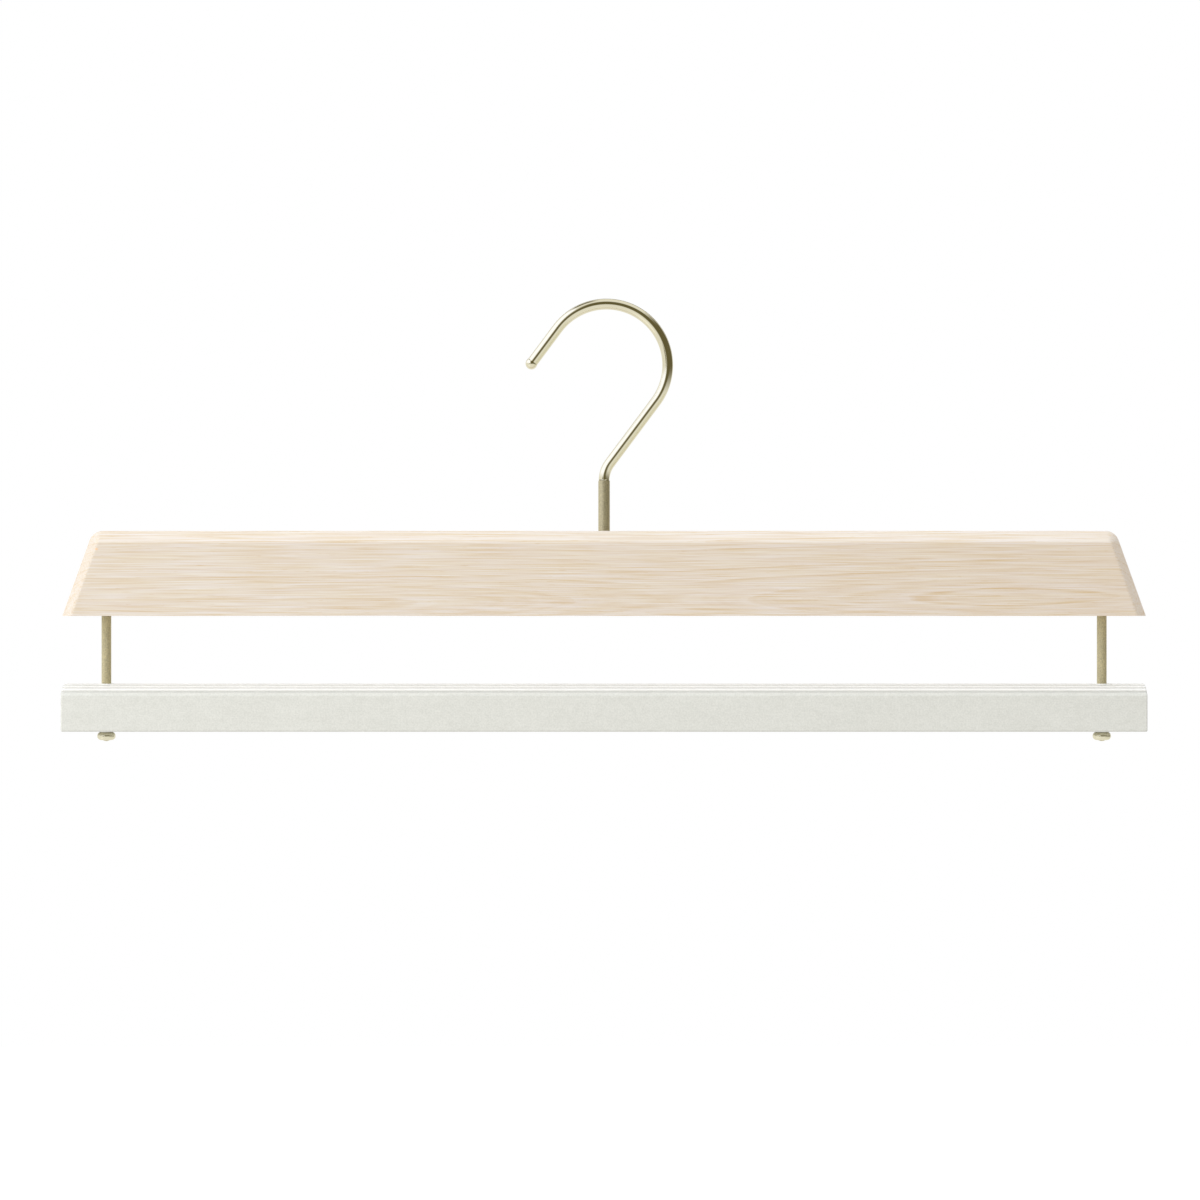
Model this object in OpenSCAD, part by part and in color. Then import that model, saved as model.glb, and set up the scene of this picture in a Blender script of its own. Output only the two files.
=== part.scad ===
// Trouser hanger: a bevelled wooden bar on a swivel hook, and a ribbed lower bar that slides on two rods.
// Millimetres, +Z up, +X to the right as seen from the front, front towards -Y.
// The origin is on the swivel axis, at the top of the inside of the hook, where a rail carries it.

/* [Bars] */
// Length of both bars
bar_length = 450; // [300:5:600]
// Thickness of both bars, front to back
bar_thick = 18; // [16:0.5:26]
// Clear height between the bars, where the trousers hang
bar_gap = 28.2; // [16:0.1:60]

/* [Wooden bar] */
// Height of the wooden bar
wood_height = 35.3; // [28:0.1:60]
// Lean of the two ends from the vertical, in degrees
end_lean = 19.8; // [5:0.1:30]
// Height of the bevel along the top
top_bevel = 4.6; // [2:0.1:6]
// Width of the bevel along the leaning ends
end_bevel = 3.9; // [2:0.1:6]
// Depth of both bevels into the front and back
bevel_depth = 4.6; // [2:0.1:6]
// Radius of the two top corners at the back of the bevel
corner_r = 5.8; // [3:0.1:10]
// Radius of the two top corners of the front face
face_corner_r = 1.8; // [0.5:0.1:3]

/* [Hook] */
// Diameter of the hook's wire
wire_d = 4.5; // [3.6:0.1:5.5]
// Inside diameter of the hook's round
hook_inner_d = 46.5; // [36:0.5:60]
// Distance from the swivel axis to the centre of the round
hook_offset = 1; // [0:0.1:3]
// Lean of the two straight runs from the vertical, in degrees
run_lean = 36.7; // [30:0.1:42]
// Length of the straight run at the free end, to the centre of the ball on its tip
tip_run = 18.1; // [5:0.1:24]
// How far that ball stands out past the wire, all round
tip_bulge = 0.2; // [0:0.05:0.5]
// Radius of the neck bend, to the middle of the wire
neck_r = 12; // [8:0.5:16]
// Diameter of the shank where it turns in the sleeve
shank_d = 3.2; // [2.5:0.1:4]

/* [Hook sleeve and nut] */
// Wall of the sleeve
sleeve_wall = 0.74; // [0.5:0.02:1.5]
// Height of the sleeve above the wood
sleeve_stand = 21; // [8:0.5:35]
// Diameter of the counterbore under the wood
counterbore_d = 11; // [10:0.5:14]
// Depth of the counterbore
counterbore_depth = 12; // [8:0.5:16]
// Diameter of the washer above the lock nut
hook_washer_d = 9; // [7:0.5:9.5]
// Thickness of that washer
hook_washer_t = 0.8; // [0.5:0.1:1.2]
// Width of the lock nut across its flats
nut_flats = 5.5; // [5.5:0.1:7]
// Height of the lock nut
nut_height = 4; // [3.5:0.1:5]
// Height of the nylon ring inside the lock nut
nut_ring_h = 1.1; // [0.8:0.1:1.5]
// Wall of that ring
nut_ring_wall = 0.6; // [0.4:0.05:0.6]
// Length of shank that stands out below the lock nut
shank_proud = 0.8; // [0.2:0.1:2]

/* [Rods] */
// Diameter of the rods
rod_d = 4; // [3.3:0.1:5]
// Distance from each end of the bars to the middle of its rod
rod_inset = 17.7; // [14:0.1:40]
// Diameter of the threaded foot of each rod
rod_foot_d = 3; // [2:0.1:3.2]
// Length of the rounded foot that stands out below its nut
foot_proud = 0.4; // [0.2:0.1:1]
// Wall of the threaded inserts in the wood
insert_wall = 1.2; // [0.8:0.1:2]
// Length of the threaded inserts
insert_length = 13; // [8:0.5:20]
// Depth of the inserts below the underside of the wood
insert_sink = 0.5; // [0:0.1:2]
// Width of the ridges round each insert
ridge_w = 1; // [0.6:0.1:1.5]
// Depth of the grooves between those ridges
ridge_depth = 0.4; // [0.2:0.1:0.6]

/* [Lower bar] */
// Height of the lower bar's flat sides
side_height = 15; // [8:0.5:30]
// Height of its rounded top
crown = 4.8; // [3:0.1:8]
// Spacing of the grooves along the curve of the top
groove_pitch = 2.4; // [2:0.1:4]
// Number of grooves on each side of the middle
groove_count = 4; // [1:1:4]
// Radius of each groove
groove_r = 0.75; // [0.4:0.05:0.9]
// Depth of each groove
groove_depth = 0.45; // [0.2:0.05:0.7]

/* [Bushes, washers and end nuts] */
// Wall of the bushes
bush_wall = 0.8; // [0.5:0.05:1.5]
// Width of the flange round the top of each bush
bush_flange_w = 0.4; // [0.2:0.1:1.5]
// Thickness of that flange
bush_flange_t = 0.8; // [0.5:0.1:1.5]
// Depth of the flange below the top of the bar
bush_sink = 0; // [0:0.1:1]
// Diameter of the washers under the lower bar
nut_washer_d = 6.6; // [5.5:0.1:9]
// Thickness of those washers
nut_washer_t = 0.3; // [0.3:0.1:1.2]
// Diameter of the button nuts
button_d = 7.6; // [6.8:0.1:10]
// Height of the button nuts
button_h = 3.4; // [2.5:0.1:5]

/* [Clearances] */
// Radial clearance of a shaft that turns or slides
run_clear = 0.06; // [0.02:0.01:0.1]
// Radial clearance of a piece that is glued, screwed or pressed in place
seat_clear = 0.03; // [0.01:0.01:0.08]
// Play between two faces that turn against each other
face_clear = 0.05; // [0.02:0.01:0.2]

/* [Hidden] */
$fn = 64;
eps = 0.01;
// Number of straight pieces in each round corner of the wooden bar's outline
corner_steps = 12;

// The hook's middle line: a half circle whose two straight runs lean with it, then the neck bend
hook_r = (hook_inner_d + wire_d) / 2;
round_z = -hook_inner_d / 2;
run_top_x = hook_offset + hook_r * cos(run_lean);
elbow_z = round_z - hook_r * sin(run_lean) - run_top_x / tan(run_lean);
elbow_cut = neck_r * tan(run_lean / 2);
neck_z = elbow_z - elbow_cut;
run_length = run_top_x / sin(run_lean) - elbow_cut;

// Length of the shank's thinner core that reaches up into the neck bend
shank_root = 0.5;

// Levels of the wooden bar and what hangs in it
sleeve_top_z = neck_z - face_clear;
wood_top_z = sleeve_top_z - sleeve_stand;
wood_base_z = wood_top_z - wood_height;
ceiling_z = wood_base_z + counterbore_depth;
hook_washer_z = ceiling_z - face_clear - hook_washer_t;
nut_z = hook_washer_z - nut_height;
shank_end_z = nut_z - shank_proud;
rod_x = bar_length / 2 - rod_inset;
insert_z = wood_base_z + insert_sink;
rod_top_z = insert_z + insert_length;

// Diameters that follow from what goes through them
sleeve_d = shank_d + 2 * (run_clear + sleeve_wall);
nut_corners_d = nut_flats / cos(30);
nut_ring_d = shank_d + 2 * (seat_clear + nut_ring_wall);
insert_d = rod_d + 2 * (seat_clear + insert_wall);
bush_d = rod_d + 2 * (run_clear + bush_wall);
bush_flange_d = bush_d + 2 * bush_flange_w;

// Levels of the lower bar and its nuts
bar_top_z = wood_base_z - bar_gap;
shoulder_z = bar_top_z - crown;
bar_base_z = shoulder_z - side_height;
crown_r = (pow(bar_thick / 2, 2) + crown * crown) / (2 * crown);
crown_z = bar_top_z - crown_r;
groove_step = groove_pitch / crown_r * 180 / PI;
washer_z = bar_base_z - face_clear - nut_washer_t;
button_z = washer_z - button_h;
foot_end_z = button_z - foot_proud;
foot_ball_r = (pow(rod_foot_d / 2, 2) + foot_proud * foot_proud) / (2 * foot_proud);
button_rim_r = min(button_h / 2, (button_d - rod_foot_d) / 2);
bush_top_z = bar_top_z - bush_sink;

wood_colour = [0.89, 0.83, 0.75];
satin_gold = [0.66, 0.61, 0.48];
polished_gold = [0.80, 0.74, 0.58];
steel_colour = [0.70, 0.70, 0.72];
brass_colour = [0.78, 0.62, 0.33];
bar_colour = [0.88, 0.88, 0.85];
nylon_colour = [0.93, 0.92, 0.88];

// Outline of the wooden bar from the front, drawn in by top_in at the top and end_in at the ends
function wood_outline(top_in, end_in, r) =
    let (height = wood_height - top_in,
         foot_x = bar_length / 2 - end_in / cos(end_lean),
         arc_x = foot_x - height * tan(end_lean) - r * tan((90 - end_lean) / 2),
         arc_z = height - r,
         side = [for (i = [0 : corner_steps])
             let (a = end_lean + (90 - end_lean) * i / corner_steps)
             [arc_x + r * cos(a), arc_z + r * sin(a)]])
    concat([[foot_x, 0]], side, [for (i = [corner_steps : -1 : 0]) [-side[i].x, side[i].y]], [[-foot_x, 0]]);

module wood_slab(thick, top_in, end_in, r) {
    translate([0, thick / 2, wood_base_z])
        rotate([90, 0, 0])
            linear_extrude(thick)
                polygon(wood_outline(top_in, end_in, r));
}

module tube(outer_d, inner_d, height) {
    difference() {
        cylinder(d = outer_d, h = height);
        translate([0, 0, -eps])
            cylinder(d = inner_d, h = height + 2 * eps);
    }
}

module wood_bar() {
    color(wood_colour)
        difference() {
            hull() {
                wood_slab(bar_thick - 2 * bevel_depth, 0, 0, corner_r);
                wood_slab(bar_thick, top_bevel, end_bevel, face_corner_r);
            }
            translate([0, 0, ceiling_z - eps])
                cylinder(d = sleeve_d + 2 * seat_clear, h = wood_height);
            translate([0, 0, wood_base_z - eps])
                cylinder(d = counterbore_d, h = counterbore_depth + eps);
            for (side = [-1, 1])
                translate([side * rod_x, 0, wood_base_z - eps])
                    cylinder(d = insert_d + 2 * seat_clear, h = insert_sink + insert_length + seat_clear + eps);
        }
}

// A bend of the wire in the plane of the hook, from angle a0 to a1 about its centre
module wire_bend(x, z, r, a0, a1) {
    translate([x, 0, z])
        rotate([90, 0, 0])
            rotate([0, 0, a0])
                rotate_extrude(angle = a1 - a0)
                    translate([r, 0])
                        circle(d = wire_d);
}

// A straight run of the wire down from the level of the round's centre
module wire_run(x, length) {
    translate([x, 0, -length])
        cylinder(d = wire_d, h = length);
}

module hook() {
    color(polished_gold)
        union() {
            translate([hook_offset, 0, round_z])
                rotate([0, run_lean, 0]) {
                    wire_bend(0, 0, hook_r, 0, 180);
                    wire_run(-hook_r, tip_run);
                    translate([-hook_r, 0, -tip_run])
                        sphere(d = wire_d + 2 * tip_bulge);
                    wire_run(hook_r, run_length);
                    wire_bend(hook_r + neck_r, -run_length, neck_r, 180, 180 + run_lean);
                }
            translate([0, 0, shank_end_z])
                cylinder(d = shank_d, h = neck_z - shank_end_z + shank_root);
        }
}

module hook_sleeve() {
    color(satin_gold)
        translate([0, 0, ceiling_z])
            tube(sleeve_d, shank_d + 2 * run_clear, sleeve_top_z - ceiling_z);
}

module hook_washer() {
    color(steel_colour)
        translate([0, 0, hook_washer_z])
            tube(hook_washer_d, shank_d + 2 * seat_clear, hook_washer_t);
}

module hook_lock_nut() {
    color(steel_colour)
        translate([0, 0, nut_z])
            difference() {
                cylinder(d = nut_corners_d, h = nut_height, $fn = 6);
                translate([0, 0, -eps])
                    cylinder(d = shank_d + 2 * seat_clear, h = nut_height + 2 * eps);
                translate([0, 0, -eps])
                    cylinder(d = nut_ring_d + 2 * seat_clear, h = nut_ring_h + eps);
            }
}

module lock_nut_ring() {
    color(nylon_colour)
        translate([0, 0, nut_z])
            tube(nut_ring_d, shank_d + 2 * seat_clear, nut_ring_h - seat_clear);
}

// One rod: a full-width length, and a thinner threaded foot with a rounded end
module rod(x) {
    color(satin_gold)
        translate([x, 0, 0]) {
            translate([0, 0, washer_z + nut_washer_t])
                cylinder(d = rod_d, h = rod_top_z - washer_z - nut_washer_t);
            translate([0, 0, button_z])
                cylinder(d = rod_foot_d, h = washer_z + nut_washer_t - button_z + eps);
            intersection() {
                translate([0, 0, foot_end_z + foot_ball_r])
                    sphere(r = foot_ball_r);
                translate([0, 0, foot_end_z])
                    cylinder(d = rod_foot_d, h = foot_proud + eps);
            }
        }
}

// A threaded insert, with its outer thread as plain ridges
module rod_insert(x) {
    groove_rounds = floor(insert_length / (2 * ridge_w));
    color(brass_colour)
        translate([x, 0, insert_z])
            difference() {
                tube(insert_d, rod_d + 2 * seat_clear, insert_length);
                for (i = [1 : groove_rounds])
                    translate([0, 0, ridge_w * (2 * i - 1)])
                        tube(insert_d + 2 * eps, insert_d - 2 * ridge_depth, ridge_w);
            }
}

module lower_bar() {
    color(bar_colour)
        difference() {
            union() {
                translate([-bar_length / 2, -bar_thick / 2, bar_base_z])
                    cube([bar_length, bar_thick, side_height]);
                intersection() {
                    translate([-bar_length / 2, 0, crown_z])
                        rotate([0, 90, 0])
                            cylinder(r = crown_r, h = bar_length);
                    translate([-bar_length / 2, -bar_thick / 2, shoulder_z - eps])
                        cube([bar_length, bar_thick, crown + 2 * eps]);
                }
            }
            for (side = [-1, 1], i = [1 : groove_count])
                translate([0, 0, crown_z])
                    rotate([side * (i - 0.5) * groove_step, 0, 0])
                        translate([-bar_length / 2 - eps, 0, crown_r - groove_depth + groove_r])
                            rotate([0, 90, 0])
                                cylinder(r = groove_r, h = bar_length + 2 * eps);
            for (side = [-1, 1])
                translate([side * rod_x, 0, 0]) {
                    translate([0, 0, bar_base_z - eps])
                        cylinder(d = bush_d + 2 * seat_clear, h = side_height + crown + 2 * eps);
                    translate([0, 0, bush_top_z - bush_flange_t - seat_clear])
                        cylinder(d = bush_flange_d + 2 * seat_clear, h = crown);
                }
        }
}

module bar_bush(x) {
    color(nylon_colour)
        translate([x, 0, bar_base_z])
            difference() {
                union() {
                    cylinder(d = bush_d, h = bush_top_z - bar_base_z);
                    translate([0, 0, bush_top_z - bar_base_z - bush_flange_t])
                        cylinder(d = bush_flange_d, h = bush_flange_t);
                }
                translate([0, 0, -eps])
                    cylinder(d = rod_d + 2 * run_clear, h = side_height + crown + 2 * eps);
            }
}

module nut_washer(x) {
    color(nylon_colour)
        translate([x, 0, washer_z])
            tube(nut_washer_d, rod_foot_d + 2 * seat_clear, nut_washer_t);
}

// A button nut with a round rim
module end_nut(x) {
    rim_flat = button_h - 2 * button_rim_r;
    color(polished_gold)
        translate([x, 0, button_z])
            difference() {
                union() {
                    cylinder(d = button_d - 2 * button_rim_r, h = button_h);
                    for (z = rim_flat > eps ? [button_rim_r, button_h - button_rim_r] : [button_h / 2])
                        translate([0, 0, z])
                            rotate_extrude()
                                translate([button_d / 2 - button_rim_r, 0])
                                    circle(r = button_rim_r);
                    if (rim_flat > eps)
                        translate([0, 0, button_rim_r])
                            cylinder(d = button_d, h = rim_flat);
                }
                translate([0, 0, -eps])
                    cylinder(d = rod_foot_d + 2 * seat_clear, h = button_h + 2 * eps);
            }
}

wood_bar();
hook();
hook_sleeve();
hook_washer();
hook_lock_nut();
lock_nut_ring();
rod(-rod_x);  // left_rod
rod(rod_x);  // right_rod
rod_insert(-rod_x);  // left_rod_insert
rod_insert(rod_x);  // right_rod_insert
lower_bar();
bar_bush(-rod_x);  // left_bar_bush
bar_bush(rod_x);  // right_bar_bush
nut_washer(-rod_x);  // left_nut_washer
nut_washer(rod_x);  // right_nut_washer
end_nut(-rod_x);  // left_end_nut
end_nut(rod_x);  // right_end_nut
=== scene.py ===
# Trouser hanger with a turning wire hook and a ribbed sliding bar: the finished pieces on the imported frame.
# Metres, +Z up, +X to the right seen from the front, front towards -Y.
# The origin is on the axis that the hook turns about, level with the top of its inside.
import math

import bmesh
import bpy
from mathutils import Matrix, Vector


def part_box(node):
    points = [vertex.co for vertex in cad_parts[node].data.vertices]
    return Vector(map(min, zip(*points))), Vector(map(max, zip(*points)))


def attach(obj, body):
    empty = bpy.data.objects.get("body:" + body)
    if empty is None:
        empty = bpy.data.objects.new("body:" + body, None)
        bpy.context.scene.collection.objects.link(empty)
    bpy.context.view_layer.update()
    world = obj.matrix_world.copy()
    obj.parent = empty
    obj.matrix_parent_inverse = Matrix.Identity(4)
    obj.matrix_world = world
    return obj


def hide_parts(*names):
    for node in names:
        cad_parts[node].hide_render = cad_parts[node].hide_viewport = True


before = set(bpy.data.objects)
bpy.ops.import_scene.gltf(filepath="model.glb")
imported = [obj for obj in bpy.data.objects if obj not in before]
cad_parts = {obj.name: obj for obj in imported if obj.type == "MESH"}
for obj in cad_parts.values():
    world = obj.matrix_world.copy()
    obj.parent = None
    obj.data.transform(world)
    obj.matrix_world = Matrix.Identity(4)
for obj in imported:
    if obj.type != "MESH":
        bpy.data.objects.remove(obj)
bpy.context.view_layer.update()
scene = bpy.context.scene
mm = 0.001
weldDistance = 0.0002 * mm
cutPast = 1 * mm  # how far a cutter stands out of what it cuts
white = (1.0, 1.0, 1.0)
sides = {"left": -1, "right": 1}
print("frame loaded:", len(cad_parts), "nodes")


# Node helpers, for materials and for geometry trees

def plug(tree, socket, value):
    if isinstance(value, bpy.types.NodeSocket):
        tree.links.new(value, socket)
    else:
        socket.default_value = value


def addNode(tree, kind, settings=None, inputs=None):
    made = tree.nodes.new(kind)
    for key, value in (settings or {}).items():
        setattr(made, key, value)
    for key, value in (inputs or {}).items():
        plug(tree, made.inputs[key], value)
    return made


def calc(tree, operation, *values, clamp=False):
    made = addNode(tree, "ShaderNodeMath", {"operation": operation, "use_clamp": clamp})
    for socket, value in zip(made.inputs, values):
        plug(tree, socket, value)
    return made.outputs[0]


def product(tree, result, *others):
    for value in others:
        result = calc(tree, "MULTIPLY", result, value)
    return result


def lengthOf(tree, a, b):
    return calc(tree, "SQRT", calc(tree, "MULTIPLY_ADD", a, a, product(tree, b, b)))


def vectorCalc(tree, operation, a, b):
    made = addNode(tree, "ShaderNodeVectorMath", {"operation": operation})
    plug(tree, made.inputs[0], a)
    plug(tree, made.inputs[3 if operation == "SCALE" else 1], b)
    return made.outputs[0]


def splitAxes(tree, vector):
    return addNode(tree, "ShaderNodeSeparateXYZ", inputs={0: vector}).outputs[:3]


def joinAxes(tree, x, y, z):
    return addNode(tree, "ShaderNodeCombineXYZ", inputs={0: x, 1: y, 2: z}).outputs[0]


def remap(tree, value, low, high, toLow=0.0, toHigh=1.0, smooth=True):
    kind = "SMOOTHSTEP" if smooth else "LINEAR"
    return addNode(tree, "ShaderNodeMapRange", {"interpolation_type": kind},
                   {0: value, 1: low, 2: high, 3: toLow, 4: toHigh}).outputs[0]


def noiseAt(tree, place, size, detail=2.0, roughness=0.5, shift=(0.0, 0.0, 0.0)):
    # Noise whose cells measure about size along each axis, less its middle value
    cells = vectorCalc(tree, "ADD", vectorCalc(tree, "DIVIDE", place, size), shift)
    made = addNode(tree, "ShaderNodeTexNoise", inputs={
        "Vector": cells, "Scale": 1.0, "Detail": detail, "Roughness": roughness})
    return calc(tree, "SUBTRACT", made.outputs["Fac"], 0.5)


def mixColours(tree, factor, a, b, blend="MIX"):
    # Each colour is a socket or (red, green, blue)
    a, b = ((*colour, 1.0) if isinstance(colour, tuple) else colour for colour in (a, b))
    made = addNode(tree, "ShaderNodeMix", {"data_type": "RGBA", "blend_type": blend}, {0: factor, 6: a, 7: b})
    return made.outputs[2]


def colourRamp(tree, value, stops):
    made = addNode(tree, "ShaderNodeValToRGB", inputs={0: value})
    elements = made.color_ramp.elements
    while len(elements) < len(stops):
        elements.new(0.5)
    for element, (position, colour) in zip(elements, stops):
        element.position = position
        element.color = (*colour, 1.0)
    return made.outputs[0]


def plainMaterial(name):
    material = bpy.data.materials.new(name)
    material.use_nodes = True
    return material, material.node_tree


def newMaterial(name, **shaderValues):
    material, tree = plainMaterial(name)
    shader = tree.nodes["Principled BSDF"]
    for label, value in shaderValues.items():
        shader.inputs[label].default_value = value
    place = addNode(tree, "ShaderNodeTexCoord").outputs["Object"]
    return material, tree, shader, vectorCalc(tree, "SCALE", place, 1 / mm)  # places in millimetres


def addBump(tree, shader, height, distance):
    bump = addNode(tree, "ShaderNodeBump", inputs={"Height": height, "Distance": distance})
    tree.links.new(bump.outputs[0], shader.inputs["Normal"])


# Materials

woodLook = {
    "tones": [(0.0, (0.748, 0.679, 0.602)), (0.40, (0.706, 0.606, 0.490)),
              (0.75, (0.652, 0.515, 0.346)), (1.0, (0.604, 0.436, 0.255))],
    "middleTone": 0.38,
    "roughness": 0.58,

    # Where the middle of the log lies, in millimetres
    "eyeX": 168.0,  # it comes nearest to the front face here
    "eyeDepth": 3.3,
    "openX": -95.0,  # and stays at a second depth from here to the left end
    "openDepth": 4.1,
    "taper": 0.056,  # how much deeper it lies for each millimetre away from both
    "turnLength": 12.0,
    "heartZ": -121.4,
    "heartRise": 0.010,

    # The rings round it, and how much each kind of mark changes the tone
    "ringWidth": 3.6,
    "ringStart": 1.5,
    "wander": 0.35,
    "jitter": 0.20,
    "ringDark": 0.36,
    "ringLight": 0.14,
    "fineDark": 0.55,
    "fibreDark": 2.2,
    "cloudDark": 0.06,
    "dashDark": 0.25,

    # How far each kind of mark runs along the bar, into it and up it
    "wanderCell": (70.0, 12.0, 12.0),
    "jitterCell": (22.0, 1.8, 1.8),
    "brokenCell": (40.0, 1.4, 1.4),
    "fineCell": (45.0, 0.5, 1.1),
    "fibreCell": (30.0, 0.32, 0.32),
    "cloudCell": (60.0, 9.0, 9.0),
    "dashCell": (5.0, 0.5, 0.5),
    "hueCell": (30.0, 0.8, 0.8),

    "coolTint": (0.994, 1.0, 1.05),
    "warmTint": (1.006, 1.0, 0.94),
    "rightTint": (0.972, 0.940, 0.898),  # the faces are a little deeper at the right end
    "tintFade": (5.4, 4.2),  # below the top, where it gives way to the bevel's own tone
    "fleckPlace": (-210.1, -99.9),
    "fleckSize": (0.9, 0.6),
    "fleckColour": (0.86, 0.55, 0.28),
}


def makeWood(look, halfLength, halfThick, top):
    material, tree, shader, place = newMaterial("pale sanded wood", **{
        "IOR": 1.45, "Specular IOR Level": 0.35, "Sheen Weight": 0.35, "Sheen Roughness": 0.5})
    x, y, z = splitAxes(tree, place)

    def awayFrom(spot):
        # The way along the bar from one spot, and its length, with a gentle turn at it
        way = calc(tree, "SUBTRACT", x, spot)
        return way, calc(tree, "SQRT", calc(tree, "MULTIPLY_ADD", way, way, look["turnLength"] ** 2))

    eyeAway = awayFrom(look["eyeX"])[1]
    openWay, openAway = awayFrom(look["openX"])
    taper = look["taper"]
    eyeDeep = calc(tree, "MULTIPLY_ADD", eyeAway, taper, look["eyeDepth"] - taper * look["turnLength"])
    openDeep = calc(tree, "MULTIPLY_ADD", calc(tree, "ADD", openWay, openAway), taper / 2, look["openDepth"])
    deeper = calc(tree, "SMOOTH_MIN", eyeDeep, openDeep, 2.0)
    inward = calc(tree, "ADD", calc(tree, "ADD", y, halfThick), deeper)
    upward = calc(tree, "SUBTRACT", z, calc(tree, "MULTIPLY_ADD", x, look["heartRise"], look["heartZ"]))
    wander = noiseAt(tree, place, look["wanderCell"])
    jitter = noiseAt(tree, place, look["jitterCell"], shift=(7.0, 3.0, 1.0))
    radius = calc(tree, "MULTIPLY_ADD", wander, 2 * look["wander"], lengthOf(tree, inward, upward))
    radius = calc(tree, "MULTIPLY_ADD", jitter, 2 * look["jitter"], radius)

    # One dark line to a ring: it comes up slowly and ends at once, with the palest wood beyond it
    turns = calc(tree, "DIVIDE", calc(tree, "SUBTRACT", radius, look["ringStart"]), look["ringWidth"])
    part = calc(tree, "FRACT", turns)
    rise = remap(tree, part, 0.74, 0.94)
    fall = remap(tree, part, 0.95, 1.0, 1.0, 0.0)
    pale = remap(tree, part, 0.02, 0.24, 1.0, 0.0)
    number = calc(tree, "FLOOR", turns)
    ownNoise = addNode(tree, "ShaderNodeTexWhiteNoise", {"noise_dimensions": "1D"}, {"W": number})
    ownStrength = remap(tree, ownNoise.outputs["Value"], 0.0, 1.0, 0.45, 1.0, smooth=False)
    broken = noiseAt(tree, place, look["brokenCell"], 3.0, shift=(2.0, 9.0, 4.0))
    ring = product(tree, rise, fall, ownStrength, remap(tree, broken, -0.16, 0.14, 0.15, 1.0))
    pale = product(tree, pale, remap(tree, broken, -0.12, 0.18, 1.0, 0.3))

    # Finer lines that run with the rings, single fibres, broad clouds, and a few short dashes
    alongRings = joinAxes(tree, x, radius, product(tree, inward, 0.2))
    fine = noiseAt(tree, alongRings, look["fineCell"], roughness=0.6)
    fibre = noiseAt(tree, place, look["fibreCell"], roughness=0.6, shift=(5.0, 5.0, 5.0))
    cloud = noiseAt(tree, place, look["cloudCell"], shift=(1.0, 6.0, 2.0))
    dash = remap(tree, noiseAt(tree, place, look["dashCell"], 0.0, shift=(3.0, 8.0, 6.0)), 0.24, 0.30)
    tone = look["middleTone"]
    for mark, strength in ((ring, look["ringDark"]), (pale, -look["ringLight"]), (fine, look["fineDark"]),
                           (fibre, look["fibreDark"]), (cloud, look["cloudDark"]), (dash, look["dashDark"])):
        tone = calc(tree, "MULTIPLY_ADD", mark, strength, tone)
    colour = colourRamp(tree, tone, look["tones"])

    # Two slow shifts of hue: towards the right end, and from streak to streak
    rightward = remap(tree, x, -halfLength, halfLength, smooth=False)
    onFaces = remap(tree, z, *(top - below for below in look["tintFade"]), 1.0, 0.0)
    rightTint = mixColours(tree, product(tree, rightward, onFaces), white, look["rightTint"])
    hue = noiseAt(tree, place, look["hueCell"], shift=(8.0, 1.0, 5.0))
    hue = calc(tree, "MULTIPLY_ADD", hue, 2.0, 0.5, clamp=True)
    for tint in (rightTint, mixColours(tree, hue, look["coolTint"], look["warmTint"])):
        colour = mixColours(tree, 1.0, colour, tint, "MULTIPLY")

    # One small amber fleck near the upper left corner of the front
    offX, offZ = (calc(tree, "DIVIDE", calc(tree, "SUBTRACT", axis, middle), reach)
                  for axis, middle, reach in zip((x, z), look["fleckPlace"], look["fleckSize"]))
    fleck = remap(tree, lengthOf(tree, offX, offZ), 0.4, 1.1, 0.8, 0.0)
    fleck = product(tree, fleck, calc(tree, "LESS_THAN", y, 0.0))
    tree.links.new(mixColours(tree, fleck, colour, look["fleckColour"]), shader.inputs["Base Color"])
    rough = calc(tree, "MULTIPLY_ADD", tone, 0.16, look["roughness"] - 0.08)
    tree.links.new(rough, shader.inputs["Roughness"])
    grooves = calc(tree, "MULTIPLY_ADD", fine, 0.5, product(tree, fibre, 0.8))
    addBump(tree, shader, grooves, 0.05 * mm)
    return material


goldLook = {
    "colour": (0.735, 0.692, 0.515),
    "edge": (1.0, 0.98, 0.93),
    "rodColour": (0.71, 0.648, 0.43),
    "rodRoughness": 0.82,
    "rodMetallic": 0.85,
    "sleeveColour": (0.55, 0.494, 0.312),
    "sleeveRoughness": 0.50,
    "sleeveMetallic": 0.94,
    "satinShares": (0.76, 1.24),  # how much darker and lighter than its colour the satin grain goes
}


def makePolishedGold(look):
    material, tree, shader, place = newMaterial("polished champagne plating", **{
        "Metallic": 1.0, "Base Color": (*look["colour"], 1.0), "Specular Tint": (*look["edge"], 1.0)})
    smear = noiseAt(tree, place, (6.0, 6.0, 6.0), 3.0)
    tree.links.new(calc(tree, "MULTIPLY_ADD", smear, 0.05, 0.09), shader.inputs["Roughness"])
    return material


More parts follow.
